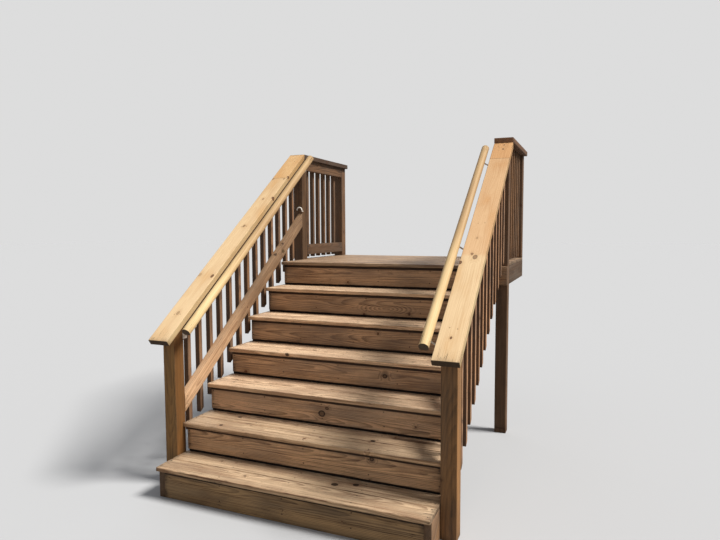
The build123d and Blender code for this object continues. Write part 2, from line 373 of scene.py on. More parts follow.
class Plank(Graph):
    """Wood that follows each plank's own length.

    The planks carry their own places in the attributes grain (along, across and through, in metres),
    half (half their size in the same directions), board (a random number) and end (1 on sawn ends).
    """

    def __init__(self, name):
        super().__init__(name)
        self.place = self.attribute("grain")
        self.along, self.across, self.through = self.split(self.place)
        self.half_along, self.half_across, self.half_through = self.split(self.attribute("half"))
        self.sawn_end = self.attribute("end", "Fac")
        white = self.nodes.new("ShaderNodeTexWhiteNoise")
        white.noise_dimensions = "1D"
        self.set(white.inputs["W"], self.attribute("board", "Fac"))
        self.chances = self.split(white.outputs["Color"])
        self.shift = self.vector("MULTIPLY", white.outputs["Color"], PATTERN_SHIFTS)
        self.position = self.geometry("Position")
        self.from_end = self.margin(self.half_along, self.along)
        self.made = {}

    def pattern(self, word):
        """A stretched noise, at another place of the pattern on each plank."""
        if word not in self.made:
            along, across, *fineness = PATTERNS[word]
            place = self.vector("MULTIPLY", self.place, (along, across, across))
            self.made[word] = self.noise(self.vector("ADD", place, self.shift), 1.0, *fineness)
        return self.made[word]

    def uneven_chance(self, index):
        """One of the plank's chances, from -0.5 to 0.5."""
        return self.less(self.chances[index], 0.5)

    def margin(self, half, place):
        """How far a place is from the nearer side."""
        return self.less(half, self.math("ABSOLUTE", place))

    def offset(self, place):
        """The way from a place of the stairs to the shaded point."""
        return self.vector("SUBTRACT", self.position, place)

    def knots(self, look):
        """The knots on a grid, the bent grain round them, and the single knots and their hearts."""
        spacing = (KNOT_SPACING_ALONG, KNOT_SPACING_ACROSS, 0.0)
        grid = self.nodes.new("ShaderNodeTexVoronoi")
        grid.inputs["Scale"].default_value = 1.0
        cell_along = self.math("DIVIDE", self.along, KNOT_SPACING_ALONG)
        cell_across = self.math("DIVIDE", self.across, KNOT_SPACING_ACROSS)
        where = self.vector("ADD", self.join(cell_along, cell_across, 0.0), self.shift)
        self.set(grid.inputs["Vector"], where)
        apart = self.vector("MULTIPLY", self.vector("SUBTRACT", where, grid.outputs["Position"]), spacing)
        wobble = self.noise(self.place, WOBBLE_SCALE, output="Color")
        wobble = self.vector("SUBTRACT", wobble, (0.5, 0.5, 0.5))
        wobble = self.vector("MULTIPLY", wobble, (KNOT_WOBBLE, KNOT_WOBBLE, 0.0))
        spot = self.vector("LENGTH", self.vector("ADD", apart, wobble))
        luck, size, tone = self.split(grid.outputs["Color"])
        present = self.math("GREATER_THAN", look.knots, luck)
        radius = self.times(present, self.plus(KNOT_SMALLEST, size, KNOT_RANGE))
        real = self.math("GREATER_THAN", radius, 0.001)
        core = self.times(self.step(spot, radius, self.times(radius, 0.75)), real)
        halo = self.times(self.step(spot, self.times(radius, 3.4), radius), real)
        placed = heart = 0.0
        for spot_place, size, strength in look.placed_knots:
            offset = self.vector("MULTIPLY", self.offset(spot_place), look.knot_stretch)
            distance = self.vector("LENGTH", self.vector("ADD", offset, wobble))
            placed = self.most(placed, self.step(distance, size, size * 0.8, 0.0, strength))
            heart = self.most(heart, self.step(distance, size * 0.66, size * 0.45))
            halo = self.most(halo, self.step(distance, size * 3.0, size))
        return SimpleNamespace(core=core, halo=halo, tone=tone, placed=placed, heart=heart)

    def late_wood(self, halo):
        """The dark part of each year ring, round a pith under the plank and bent round the knots."""
        spread = self.times(self.half_across, PITH_SPREAD)
        pith_across = self.times(self.uneven_chance(0), spread)
        nearest = self.math("ADD", self.half_through, PITH_NEAREST)
        pith_through = self.plus(nearest, self.chances[1], PITH_RANGE)
        slope = self.times(self.uneven_chance(2), PITH_SLOPE)
        pith_through = self.plus(pith_through, self.along, slope)
        across = self.less(self.across, pith_across)
        year = self.vector("LENGTH", self.join(0.0, across, self.math("ADD", self.through, pith_through)))
        year = self.plus(year, self.pattern("ripple"), RING_RIPPLE)
        year = self.plus(year, self.pattern("wander"), RING_WANDER)
        year = self.plus(year, halo, RING_BEND)
        turn = self.math("FRACT", self.math("DIVIDE", year, RING_WIDTH))
        return self.times(self.step(turn, 0.25, 0.85), self.step(turn, 1.0, 0.93))

    def darkness(self, look, late):
        """How far the wood goes from its pale to its dark tint."""
        darker = self.times(late, look.rings)
        for word, low, high, least, most in (
            ("streak", 0.42, 0.72, 0.0, look.streaks),
            ("hair", 0.45, 0.80, 0.0, look.fibre),
            ("blotch", 0.35, 0.75, -0.12, 0.25),
            ("patch", 0.56, 0.72, 0.0, 0.5 * look.streaks),
        ):
            darker = self.math("ADD", darker, self.step(self.pattern(word), low, high, least, most))
        for place, reach in look.figures:
            offset = self.offset(place)
            bow = self.vector("LENGTH", self.vector("MULTIPLY", offset, ARC_SHAPE))
            bow = self.plus(bow, self.pattern("wander"), ARC_WANDER)
            bow = self.math("FRACT", self.math("DIVIDE", bow, ARC_STEP))
            arc = self.times(self.step(bow, 0.15, 0.75), self.step(bow, 1.0, 0.88))
            inside = self.step(self.vector("LENGTH", self.vector("DIVIDE", offset, reach)), 1.0, 0.6)
            inside = self.times(inside, 0.55)
            darker = self.plus(darker, self.less(arc, 0.35), inside)
        return self.math("MINIMUM", self.most(darker, 0.0), 1.0)

    def bare_tint(self, look, darker):
        """The wood's own tint, with blotches, grey weathering and the tone of each plank."""
        tint = self.mix(darker, look.pale, look.dark)
        if look.stain:
            blotches = self.step(self.pattern("blotch"), 0.5, 0.75, 0.0, 0.55)
            tint = self.mix(blotches, tint, colour(*look.stain))
        if look.grey:
            weathered = self.step(self.pattern("silver"), 0.38, 0.68, 0.0, look.grey)
            tint = self.mix(weathered, tint, SILVER)
        level = self.plus(1.0, self.uneven_chance(2), 2 * look.tone)
        return self.mix(1.0, tint, self.join(level, level, level), "MULTIPLY")

    def spliced(self, look, tint):
        """The tints beyond the splices of a cap, and the dark lines of the butt joints."""
        joint = 0.0
        for place, direction, beyond_tint, blur in look.splices:
            offset = self.offset(place)
            past = self.vector("DOT_PRODUCT", offset, direction)
            here = self.math("LESS_THAN", self.math("ABSOLUTE", self.split(offset)[0]), CAP_REACH)
            beyond = self.step(past, -blur, blur) if blur else self.math("GREATER_THAN", past, 0.0)
            tint = self.dye(self.times(here, beyond), tint, beyond_tint)
            if not blur:
                line = self.step(self.math("ABSOLUTE", past), 0.0022, 0.0010)
                joint = self.most(joint, self.times(here, line))
        return tint, joint

    def painted_light_and_patches(self, look, tint):
        """Painted light and shade on faces by the way they look and in stretches along y, and darker
        patches.
        """
        # Painted light and shade by the way each face looks, sideways or not
        if look.sides:
            sideways = self.math("ABSOLUTE", self.split(self.geometry("Normal"))[0])
            tint = self.mix(1.0, tint, self.mix(self.step(sideways, 0.55, 0.85), *look.sides), "MULTIPLY")
        # Painted light on the faces that look down the stairs
        if look.front:
            facing = self.split(self.geometry("Normal"))[1]
            tint = self.dye(self.step(facing, -0.5, -0.8), tint, look.front)
        # Painted light and shade along y
        for low, high, painted_light_tint in look.fades:
            tint = self.dye(self.step(self.split(self.position)[1], low, high), tint, painted_light_tint)
        # Darker ragged patches
        for place, reach, patch_tint in look.stains:
            distance = self.vector("LENGTH", self.vector("DIVIDE", self.offset(place), reach))
            distance = self.plus(distance, self.pattern("ragged"), 0.9)
            tint = self.dye(self.step(distance, 1.40, 1.05), tint, patch_tint)
        return tint

    def knotted(self, look, tint, knots):
        """Knots with a reddish or a black core, and the grain round them a little darker."""
        tint = self.mix(self.times(knots.halo, 0.30), tint, look.dark)
        core = self.mix(self.times(knots.tone, 0.8), RED_KNOT, BLACK_KNOT)
        tint = self.mix(self.times(knots.core, 0.85), tint, core)
        if look.placed_knots:
            rim_tint, heart_tint, heart_share = look.knot_tints
            inside = self.mix(self.times(knots.heart, heart_share), rim_tint, heart_tint)
            tint = self.mix(self.times(knots.placed, 0.94), tint, inside)
        return tint

    def soiled(self, look, tint):
        """Dirt along the edges and at the ends, the sawn ends' tint (end grain, and on the caps and
        handrails painted shade too), and the shade of a nosing.
        """
        worn = self.pattern("worn")
        from_side = self.margin(self.half_across, self.across)
        from_face = self.margin(self.half_through, self.through)
        at_edge = self.step(self.most(from_side, from_face), DIRT_WIDTH, 0.0)
        dirt = self.times(at_edge, self.step(worn, 0.35, 0.65))
        at_end = self.step(self.from_end, END_DIRT_WIDTH, 0.0)
        dirt = self.most(dirt, self.times(at_end, self.step(worn, 0.30, 0.7)))
        tint = self.mix(self.times(dirt, look.soiled), tint, DIRT)
        # The sawn ends' tint: end grain, with painted shade where it is very dark
        tint = self.mix(self.times(self.sawn_end, look.end_share), tint, colour(*look.end_tint))
        if look.shaded_top:
            below = self.less(self.half_across, self.across)
            below = self.plus(below, worn, 0.004)
            shade = self.step(below, look.shaded_top + 0.005, look.shaded_top, 0.0, 0.94)
            tint = self.mix(shade, tint, SHADE)
        return tint

    def cracks(self, look, joint):
        """Fine cracks near the ends and in checked places, and the butt joints."""
        crack = self.math("ABSOLUTE", self.less(self.pattern("crack"), 0.5))
        crack = self.step(crack, 0.012, 0.003)
        near_end = self.plus(self.from_end, self.pattern("worn"), 0.12)
        where = self.step(near_end, 0.17, 0.10)
        if look.checks:
            checked = self.step(self.pattern("checked"), 0.55, 0.5, 0.0, look.checks)
            where = self.most(where, checked)
        crack = self.times(crack, where)
        return self.most(crack, joint) if look.splices else crack

    def relief(self, late, crack, core):
        """The height of the grain, for the bump."""
        height = self.plus(self.times(late, 0.30), self.pattern("hair"), 0.55)
        height = self.plus(height, self.pattern("streak"), 0.4)
        height = self.less(height, self.times(crack, 2.0))
        return self.plus(height, core, 0.35)


def wood(name, pale, dark, **changes):
    """A material of solid wood. changes are what differs from PLAIN."""
    look = SimpleNamespace(pale=colour(*pale), dark=colour(*dark), **{**PLAIN, **changes})
    plank = Plank(name)
    knots = plank.knots(look)
    late = plank.late_wood(knots.halo)
    tint = plank.bare_tint(look, plank.darkness(look, late))
    tint, joint = plank.spliced(look, tint)
    tint = plank.painted_light_and_patches(look, tint)
    tint = plank.knotted(look, tint, knots)
    tint = plank.soiled(look, tint)
    crack = plank.cracks(look, joint)
    tint = plank.mix(plank.times(crack, 0.75, clamp=True), tint, CRACK)
    gloss = plank.step(plank.pattern("streak"), 0.3, 0.7, look.roughness - 0.06, look.roughness + 0.10)
    plank.set(plank.shader.inputs["Base Color"], tint)
    plank.set(plank.shader.inputs["Roughness"], gloss)
    plank.shader.inputs["Specular IOR Level"].default_value = 0.35
    plank.bump(plank.relief(late, crack, knots.core), GRAIN_RELIEF, 0.8)
    return plank.material


# Single knots, seams and darker patches, where the photograph shows them

CAP_KNOTS = (
    (on_cap("left", 0.870, 0.190), 0.012, 0.45),
    (on_cap("left", 0.821, 0.474), 0.012, 0.95),
    (on_cap("left", 0.925, 0.482), 0.012, 0.35),
    (on_cap("left", 0.867, 0.924), 0.011, 0.7),
    (on_cap("left", 0.878, 1.207), 0.009, 0.6),
    (on_cap("left", 0.801, 1.227, depth=0.014), 0.012, 0.95),
    (on_cap("left", 0.823, 1.439), 0.008, 0.6),
    (on_cap("left", 0.925, 1.442), 0.010, 0.5),
    (on_cap("left", 0.802, 1.469, depth=0.010), 0.010, 0.9),
    (on_cap("right", 0.868, 0.126), 0.007, 0.95),
    (on_cap("right", 0.804, 0.605), 0.012, 0.95),
    (on_cap("right", 0.881, 0.647), 0.015, 0.7),
    (on_cap("right", 0.859, 0.670), 0.009, 0.7),
    (on_cap("right", 0.863, 0.795), 0.007, 0.4),
    (on_cap("right", 0.876, 1.672), 0.007, 0.9),
    (on_cap("right", 0.876, 1.721), 0.006, 0.8),
)


def splice(word, up, tint, blur):
    """A joint or a seam straight across a sloping cap."""
    direction = Vector((0.0, 1.0, cap_pitch(word))).normalized()
    return on_cap(word, CAP_MIDDLE, up), direction, tint, blur


CAP_SPLICES = (
    splice("left", 1.450, (0.97, 0.88, 0.76, 1.0), 0.0),
    splice("right", 1.563, (0.96, 0.86, 0.74, 1.0), 0.0),
    splice("right", 0.662, (0.93, 0.83, 0.78, 1.0), 0.02),
)
TREAD_KNOTS = (
    (on_tread(1, -0.519, 0.219), 0.008, 0.7),
    (on_tread(1, -0.427, 0.240), 0.007, 0.6),
    (on_tread(1, -0.273, 0.093), 0.009, 0.8),
    (on_tread(1, 0.240, 0.184), 0.019, 1.0),
    (on_tread(1, 0.350, 0.222), 0.017, 1.0),
    (on_tread(2, -0.579, 0.053), 0.012, 0.95),
    (on_tread(2, -0.557, 0.223), 0.014, 0.9),
    (on_tread(2, 0.382, 0.152), 0.014, 1.0),
)
# Darker patches on the treads: one at the back of tread 2 by riser 3's foot, and the painted shade of a
# small notch in tread 4's nosing
TREAD_PATCHES = (
    (on_tread(2, 0.600, 0.236), (0.19, 0.026, 0.02), (0.34, 0.31, 0.29, 1.0)),
    (on_tread(4, -0.361, 0.002, depth=0.010), (0.022, 0.020, 0.014), (0.15, 0.13, 0.12, 1.0)),
)
RISER_KNOTS = (
    (on_riser(2, 0.422, 0.134), 0.012, 1.0),
    (on_riser(3, 0.001, 0.075), 0.022, 0.95),
    (on_riser(3, 0.036, 0.111), 0.011, 0.9),
    (on_riser(4, 0.320, 0.090), 0.015, 1.0),
)
RISER_FIGURES = ((on_riser(6, 0.151, 0.066), (0.27, 1.0, 0.055)),)
# Darker patches round a joint in the left lower rail
RAIL_PATCHES = (
    (on_cap("left", 0.823, 1.409, depth=0.495), (0.03, 0.018, 0.018), (0.25, 0.22, 0.20, 1.0)),
    (on_cap("left", 0.823, 1.297, depth=0.497), (0.03, 0.020, 0.020), (0.25, 0.22, 0.20, 1.0)),
    (on_cap("left", 0.823, 1.413, depth=0.565), (0.03, 0.030, 0.018), (0.40, 0.40, 0.32, 1.0)),
)

# The woods: their tints run from 0 to 255 as on a screen, and the tints of the painted light and shade, by
# face and along y, are factors

SAME = (1.0, 1.0, 1.0, 1.0)
WIDE_KNOT = (0.85, 1.0, 1.0)
LONG_KNOT = (1.0, 0.65, 0.65)
DECKING = {"streaks": 0.7, "fibre": 0.4, "checks": 0.8, "soiled": 0.6, "end_share": 0.2}
WORN_POST = {"rings": 0.3, "knots": 0.15, "grey": 0.15}
SHADED_TINTS = ((122, 90, 64), (70, 50, 36))
POST_TINTS = ((146, 106, 66), (66, 50, 34))
STREAKED = {"knots": 0.2, "streaks": 0.6}

# Treads: nosing fronts lighter, painted light; the lowest treads darker, painted shade
TREAD = wood(
    "tread_wood", (248, 217, 182), (140, 106, 82), stain=(200, 165, 134), grey=0.3, tone=0.06, **DECKING,
    placed_knots=TREAD_KNOTS, knot_stretch=WIDE_KNOT, stains=TREAD_PATCHES, front=(1.20, 1.10, 1.0, 1.0),
    fades=((-0.87, -0.92, (0.74, 0.74, 0.72, 1.0)),),
)
LANDING = wood(
    "landing_wood", (198, 167, 135), (107, 80, 62), stain=(141, 112, 91), grey=0.5, **DECKING,
)
RISER = wood(
    "riser_wood", (210, 174, 139), (92, 69, 52), stain=(136, 108, 86), knots=0.2, grey=0.4, fibre=0.35,
    checks=0.6, soiled=0.8, placed_knots=RISER_KNOTS, knot_stretch=WIDE_KNOT, knot_tints=RINGED_KNOT,
    figures=RISER_FIGURES, shaded_top=0.021,
    # Painted light and shade: lighter from the second riser up, toned down higher up, the lowest riser
    # darker and warmer
    fades=(
        (-1.30, -1.15, (1.25, 1.22, 1.2, 1.0)),
        (-0.80, -0.65, (0.82, 0.81, 0.80, 1.0)),
        (-1.0, -1.3, (0.80, 0.75, 0.60, 1.0)),
    ),
)
# A near-black wood for the strips in the riser slots: painted shade
SLOT_SHADE = wood("slot_shade_wood", (40, 30, 24), (22, 17, 14), knots=0.0, roughness=0.85)
# Painted light and shade on the posts: sides lighter and fronts darker, on the lower left post the front
# lighter and the sides darker
POST = wood("post_wood", *POST_TINTS, sides=((0.90, 0.90, 0.92, 1.0), (1.35, 1.30, 1.22, 1.0)), **WORN_POST)
LEFT_POST = wood(
    "left_post_wood", *POST_TINTS, sides=((1.33, 1.38, 1.20, 1.0), (0.80, 0.72, 0.55, 1.0)), **WORN_POST,
)
# Caps: sideways faces darker and the caps darker up the stairs, painted shade; the very dark sawn ends are
# end grain and painted shade
CAP = wood(
    "cap_wood", (234, 206, 165), (198, 159, 116), stain=(224, 180, 124), streaks=0.35, rings=0.25,
    tone=0.04, soiled=0.3, knots=0.0, end_share=0.95, end_tint=(58, 42, 32), placed_knots=CAP_KNOTS,
    knot_stretch=LONG_KNOT, knot_tints=BROWN_KNOT, splices=CAP_SPLICES,
    sides=(SAME, (0.68, 0.69, 0.64, 1.0)), fades=((-0.9, 0.5, (0.89, 0.85, 0.80, 1.0)),),
)
# Handrails: darker up the stairs, painted shade; the dark sawn ends are end grain and painted shade
ROUND = wood(
    "handrail_wood", (236, 209, 158), (194, 158, 114), rings=0.2, tone=0.03, soiled=0.1, knots=0.0,
    end_share=0.95, end_tint=(74, 64, 58), fades=((-1.1, -0.2, (0.66, 0.60, 0.58, 1.0)),),
)
# Lower rails: much darker up the stairs, painted shade beyond a sunlit low end
LOW_RAIL = wood(
    "low_rail_wood", (226, 188, 150), (158, 120, 88), knots=0.12, grey=0.2, streaks=0.6,
    stains=RAIL_PATCHES, fades=((-1.0, -0.2, (0.45, 0.44, 0.43, 1.0)),),
)
RAIL = wood("rail_wood", (180, 140, 104), (110, 80, 58), knots=0.15, grey=0.3)
# Balusters: fronts darker and sides lighter, painted light and shade
BAR = wood(
    "baluster_wood", (176, 132, 98), (78, 55, 41), knots=0.1, grey=0.3,
    sides=((0.48, 0.45, 0.44, 1.0), (1.45, 1.45, 1.42, 1.0)),
)
# A darker copy for the left balusters, painted shade, with their fronts darker still
SHADED_BAR = wood(
    "shaded_baluster_wood", (150, 112, 80), (70, 50, 38), knots=0.1, grey=0.3,
    sides=((0.62, 0.60, 0.60, 1.0), SAME),
)
SHADED = wood("shaded_wood", *SHADED_TINTS, grey=0.25, **STREAKED)
# Sides darker than the fronts, painted shade
SHADED_POST = wood(
    "shaded_post_wood", *SHADED_TINTS, grey=0.25, sides=(SAME, (0.66, 0.60, 0.48, 1.0)), **STREAKED,
)
SHADED_RAIL = wood("shaded_rail_wood", (97, 72, 52), (56, 40, 29), grey=0.2, **STREAKED)
SHADED_CAP = wood("shaded_cap_wood", (84, 62, 48), (54, 40, 32), grey=0.2, **STREAKED)
SUNNY = wood("sunny_wood", (148, 109, 76), (85, 61, 43), grey=0.2, **STREAKED)
# Its fronts much lighter, painted light on faces that lie in shade
SUNNY_CAP = wood(
    "sunny_cap_wood", (126, 88, 60), (80, 56, 40), grey=0.1, front=(3.8, 3.8, 3.8, 1.0), **STREAKED,
)
FRAMING = wood("framing_wood", (158, 122, 90), (90, 66, 48), knots=0.25, grey=0.3)
RIM = wood("rim_wood", (94, 70, 50), (54, 39, 28), knots=0.25, grey=0.3)

# The first words found in a node's name give its wood
LOOKS = (
    ("tread_", TREAD),
    ("landing_boards", LANDING),
    ("risers", RISER),
    ("_stringer", FRAMING),
    ("_landing_rim", RIM),
    ("landing_", FRAMING),
    ("left_return_cap", SHADED_CAP),
    ("right_return_cap", SUNNY_CAP),
    ("left_return_bottom_rail", SHADED_RAIL),
    ("left_return_", SHADED),
    ("right_return_", SUNNY),
    ("wall_", SHADED),
    ("upper_left_post", SHADED_POST),
    ("upper_right_post", SHADED),
    ("lower_left_post", LEFT_POST),
    ("_post", POST),
    ("_cap", CAP),
    ("_handrail", ROUND),
    ("left_sloping_balusters", SHADED_BAR),
    ("_lower_sloping_rail", LOW_RAIL),
    ("left_upper_sloping_rail", SHADED_RAIL),
    ("_rail", RAIL),
    ("_balusters", BAR),
)


def look_of(node):
    """The wood of a node, by its name."""
    return next(material for words, material in LOOKS if words in node)


# Planks

ARRIS = 0.0018
DECK_ARRIS = 0.0038
CAP_ARRIS = 0.0028
ROUND_ARRIS = 0.0004
SLOT_SHADE_ARRIS = 0.0006
SHARP_CORNER = math.radians(30)
SHARP_SHADING = math.radians(40)
FLAT_CORNER = math.radians(0.6)
STATION = 0.07
WIDE_HALF = 0.045
CUP_STATIONS = (-0.4, 0.0, 0.4)
LARGEST_WARP = 0.0011


def arris_of(node):
    """How much a node's edges are eased: most on the deck boards."""
    if node.startswith("tread_") or node == "landing_boards":
        return DECK_ARRIS
    if node.endswith("_cap"):
        return CAP_ARRIS
    return ROUND_ARRIS if node.endswith("_handrail") else ARRIS


def add_object(name, mesh_edit, material, smooth=False):
    """A new object with the mesh that was built."""
    mesh = bpy.data.meshes.new(name)
    mesh_edit.to_mesh(mesh)
    mesh_edit.free()
    mesh.materials.append(material)
    for polygon in mesh.polygons:
        polygon.use_smooth = smooth
    added = bpy.data.objects.new(name, mesh)
    bpy.context.scene.collection.objects.link(added)
    return added


def order_of(part):
    """The height, depth and side of a solid's lowest vertex, to sort by."""
    return min((round(vert.co.z, 4), round(vert.co.y, 4), round(vert.co.x, 4)) for vert in part)


def edges_of(part):
    """The edges at a solid's vertices."""
    return {edge for vert in part for edge in vert.link_edges}


def faces_of(part):
    """The faces at a solid's vertices."""
    return {face for vert in part for face in vert.link_faces}


def connected_parts(mesh_edit):
    """The vertices of each solid in a mesh, as lists."""
    left = set(mesh_edit.verts)
    parts = []
    while left:
        part, todo = [], [left.pop()]
        while todo:
            vert = todo.pop()
            part.append(vert)
            for edge in vert.link_edges:
                other = edge.other_vert(vert)
                if other in left:
                    left.remove(other)
                    todo.append(other)
        parts.append(part)
    return sorted(parts, key=order_of)


def place_of(item):
    """Where an edge or a face lies, to choose between several of the same size."""
    return [round(sum(vert.co[axis] for vert in item.verts), 4) for axis in range(3)]


def plank_axes(part):
    """The directions along, across and through a plank: its longest edge, then its widest side."""
    longest = max(edges_of(part), key=lambda edge: (round(edge.calc_length(), 5), place_of(edge)))
    along = (longest.verts[1].co - longest.verts[0].co).normalized()
    if along.dot(Vector((0.3, 0.5, 1.0))) < 0:
        along.negate()
    flanks = [face for face in faces_of(part) if abs(face.normal.dot(along)) < 0.1]
    through = max(flanks, key=lambda face: (round(face.calc_area(), 7), place_of(face))).normal.copy()
    through = (through - along * through.dot(along)).normalized()
    if through.dot(Vector((0.3, -0.5, 1.0))) < 0:
        through.negate()
    return along, through.cross(along).normalized(), through


def measure(part, axes):
    """The middle and the half size of a plank along its axes."""
    spans = [[vert.co.dot(axis) for vert in part] for axis in axes]
    middles = [(min(span) + max(span)) / 2 for span in spans]
    halves = [(max(span) - min(span)) / 2 for span in spans]
    return middles, halves


def cut_stations(mesh_edit, part, axes, middles, halves):
    """Cuts a plank across at even steps, and a wide one lengthwise too, so that it can warp."""
    geometry = [*part, *edges_of(part), *faces_of(part)]
    count = int(2 * halves[0] / STATION)
    cuts = [(axes[0], middles[0] - halves[0] + index * 2 * halves[0] / count) for index in range(1, count)]
    if halves[1] > WIDE_HALF:
        cuts += [(axes[1], middles[1] + share * halves[1]) for share in CUP_STATIONS]
    for axis, level in cuts:
        result = bmesh.ops.bisect_plane(mesh_edit, geom=geometry, plane_co=axis * level, plane_no=axis)
        geometry = result["geom"]
    return [item for item in geometry if isinstance(item, bmesh.types.BMVert)]


def warp(part, axes, middles, halves, seed):
    """Bows, cups and roughens a plank a little."""
    bend = Vector((seed * 13.7, seed * 5.1, 0.0))
    cup = (noise.noise(bend) + 0.2) * LARGEST_WARP
    for vert in part:
        place = [vert.co.dot(axis) - middle for axis, middle in zip(axes, middles)]
        bow = noise.noise(bend + Vector((place[0] * 1.3, 0.0, 1.0)))
        sway = noise.noise(bend + Vector((place[0] * 1.3, 0.0, 7.0)))
        rough = noise.noise(bend + Vector((place[0] * 9.0, place[1] * 25.0, place[2] * 25.0)))
        across = place[1] / max(halves[1], 1e-6)
        vert.co += axes[2] * (bow * LARGEST_WARP + rough * 0.0005 - cup * (across * across - 0.5))
        vert.co += axes[1] * (sway * LARGEST_WARP * 0.8 + rough * 0.0004)
        for axis in (X, Y, Z):
            vert.co[axis] = min(max(vert.co[axis], cad_low[axis]), cad_high[axis])


def bare_solids(node, prepare):
    """A node's solids with whole flat faces. prepare may change them."""
    mesh_edit = bmesh.new()
    mesh_edit.from_mesh(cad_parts[node].data)
    bmesh.ops.remove_doubles(mesh_edit, verts=mesh_edit.verts, dist=1e-5)
    bmesh.ops.dissolve_limit(
        mesh_edit, angle_limit=FLAT_CORNER, verts=mesh_edit.verts, edges=mesh_edit.edges,
    )
    if prepare:
        prepare(mesh_edit)
    mesh_edit.normal_update()
    return mesh_edit


def ease(mesh_edit, arris):
    """Rounds the sharp edges."""
    corners = [edge for edge in mesh_edit.edges if edge.calc_face_angle(0.0) > SHARP_CORNER]
    bmesh.ops.bevel(
        mesh_edit, geom=corners, offset=arris, segments=2, profile=0.6, affect="EDGES", clamp_overlap=True,
    )


def dress(node, material, arris, prepare=None):
    """An object with a node's planks, eased and warped, and with their own wood coordinates.

    The planks' axes, middles and half sizes come back too.
    """
    mesh_edit = bare_solids(node, prepare)
    grain = mesh_edit.verts.layers.float_vector.new("grain")
    half = mesh_edit.verts.layers.float_vector.new("half")
    board = mesh_edit.verts.layers.float.new("board")
    end = mesh_edit.verts.layers.float.new("end")
    planks = []
    for index, part in enumerate(connected_parts(mesh_edit)):
        axes = plank_axes(part)
        planks.append((axes, *measure(part, axes)))
        for vert in part:
            vert[board] = index
    ease(mesh_edit, arris)
    chance = random.Random(node)
    for part in connected_parts(mesh_edit):
        axes, middles, halves = planks[round(part[0][board])]
        whole = cut_stations(mesh_edit, part, axes, middles, halves)
        seed = chance.random()
        mesh_edit.normal_update()
        ends = [face for face in faces_of(whole) if abs(face.normal.dot(axes[0])) > 0.7]
        sawn = {vert for face in ends for vert in face.verts}
        for vert in whole:
            vert[grain] = [vert.co.dot(axis) - middle for axis, middle in zip(axes, middles)]
            vert[half] = halves
            vert[board] = seed
            vert[end] = 1.0 if vert in sawn else 0.0
        warp(whole, axes, middles, halves, seed * 100)
    piece = add_object(node + "_wood", mesh_edit, material, smooth=True)
    piece.data.set_sharp_from_angle(angle=SHARP_SHADING)
    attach(piece, "root")
    return piece, planks


# Slots under the risers, closed behind by dark strips of painted shade

RISER_SLOT = 0.015
SLOT_SHADE_SETBACK = 0.012
SLOT_SHADE_ABOVE = 0.004
SLOT_SHADE_BELOW = 0.020
NEAR = 0.001


def raise_feet(mesh_edit):
    """Lifts the risers' lower edges off the treads, which leaves the narrow slots under them."""
    for part in connected_parts(mesh_edit):
        low = min(vert.co.z for vert in part)
        if low > RISER_SLOT:
            for vert in part:
                if vert.co.z < low + NEAR:
                    vert.co.z += RISER_SLOT


def keep_feet(mesh_edit):
    """Keeps a set-back strip of each riser above a tread, which closes its slot from behind: a dark sheet
    of painted shade, for the dark space under the stairs.
    """
    for part in connected_parts(mesh_edit):
        low, high = (pick(vert.co.z for vert in part) for pick in (min, max))
        face = min(vert.co.y for vert in part)
        if low < RISER_SLOT:
            bmesh.ops.delete(mesh_edit, geom=part, context="VERTS")
            continue
        for vert in part:
            vert.co.z = low + (RISER_SLOT + SLOT_SHADE_ABOVE if vert.co.z > high - NEAR else -SLOT_SHADE_BELOW)
            if vert.co.y < face + NEAR:
                vert.co.y += SLOT_SHADE_SETBACK


planks_of = {}
surface_of = {}
for node in sorted(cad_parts):
    if node.endswith("brackets"):
        continue
    prepare = raise_feet if node == "risers" else None
    piece, planks_of[node] = dress(node, look_of(node), arris_of(node), prepare)
    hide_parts(node)
    places = [vert.co.copy() for vert in piece.data.vertices]
    polygons = [polygon.vertices[:] for polygon in piece.data.polygons]
    surface_of[node] = BVHTree.FromPolygons(places, polygons)
# A dark strip behind each slot: painted shade, not a board of the stairs
slot_shade_strip, _ = dress("risers", SLOT_SHADE, SLOT_SHADE_ARRIS, keep_feet)
slot_shade_strip.name = "riser_slot_shade"

# Metals


def worn_metal(name, scale, edges, tints, roughness, detail=2.0):
    """A metal or a coating with worn patches. edges are where the patches begin and are full."""
    metal = Graph(name)
    patches = metal.step(metal.noise(None, scale, detail), *edges)
    tint = metal.mix(patches, *[colour(*tint) for tint in tints])
    metal.set(metal.shader.inputs["Base Color"], tint)
    if isinstance(roughness, tuple):
        roughness = metal.step(patches, 0.0, 1.0, *roughness)
    metal.set(metal.shader.inputs["Roughness"], roughness)
    return metal


RUSTED = ((74, 68, 62), (70, 44, 28))
SCUFFED = ((176, 140, 98), (120, 96, 72))
GALVANIZED = ((244, 243, 240), (214, 212, 206))
CHIPPED = ((247, 246, 242), (206, 198, 184))
STEEL = worn_metal("weathered_steel", 180.0, (0.42, 0.66), RUSTED, (0.42, 0.8), detail=3.0)
STEEL.shader.inputs["Metallic"].default_value = 0.5
COATED = worn_metal("coated_screw", 260.0, (0.4, 0.7), SCUFFED, (0.4, 0.7))
BRACKET = worn_metal("bracket_metal", 60.0, (0.45, 0.7), GALVANIZED, 0.35)
ENAMEL = worn_metal("white_enamel", 300.0, (0.62, 0.7), CHIPPED, 0.3)

for word in SIDES:
    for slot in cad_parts[f"{word}_handrail_brackets"].material_slots:
        slot.material = BRACKET.material


def join_rings(mesh_edit, rings):
    """Faces between rings of vertices, and the two ends."""
    for low_ring, high_ring in zip(rings, rings[1:]):
        for side in range(len(low_ring)):
            other = (side + 1) % len(low_ring)
            mesh_edit.faces.new((low_ring[side], low_ring[other], high_ring[other], high_ring[side]))
    mesh_edit.faces.new(rings[-1])
    mesh_edit.faces.new(list(reversed(rings[0])))


# Screws and nails

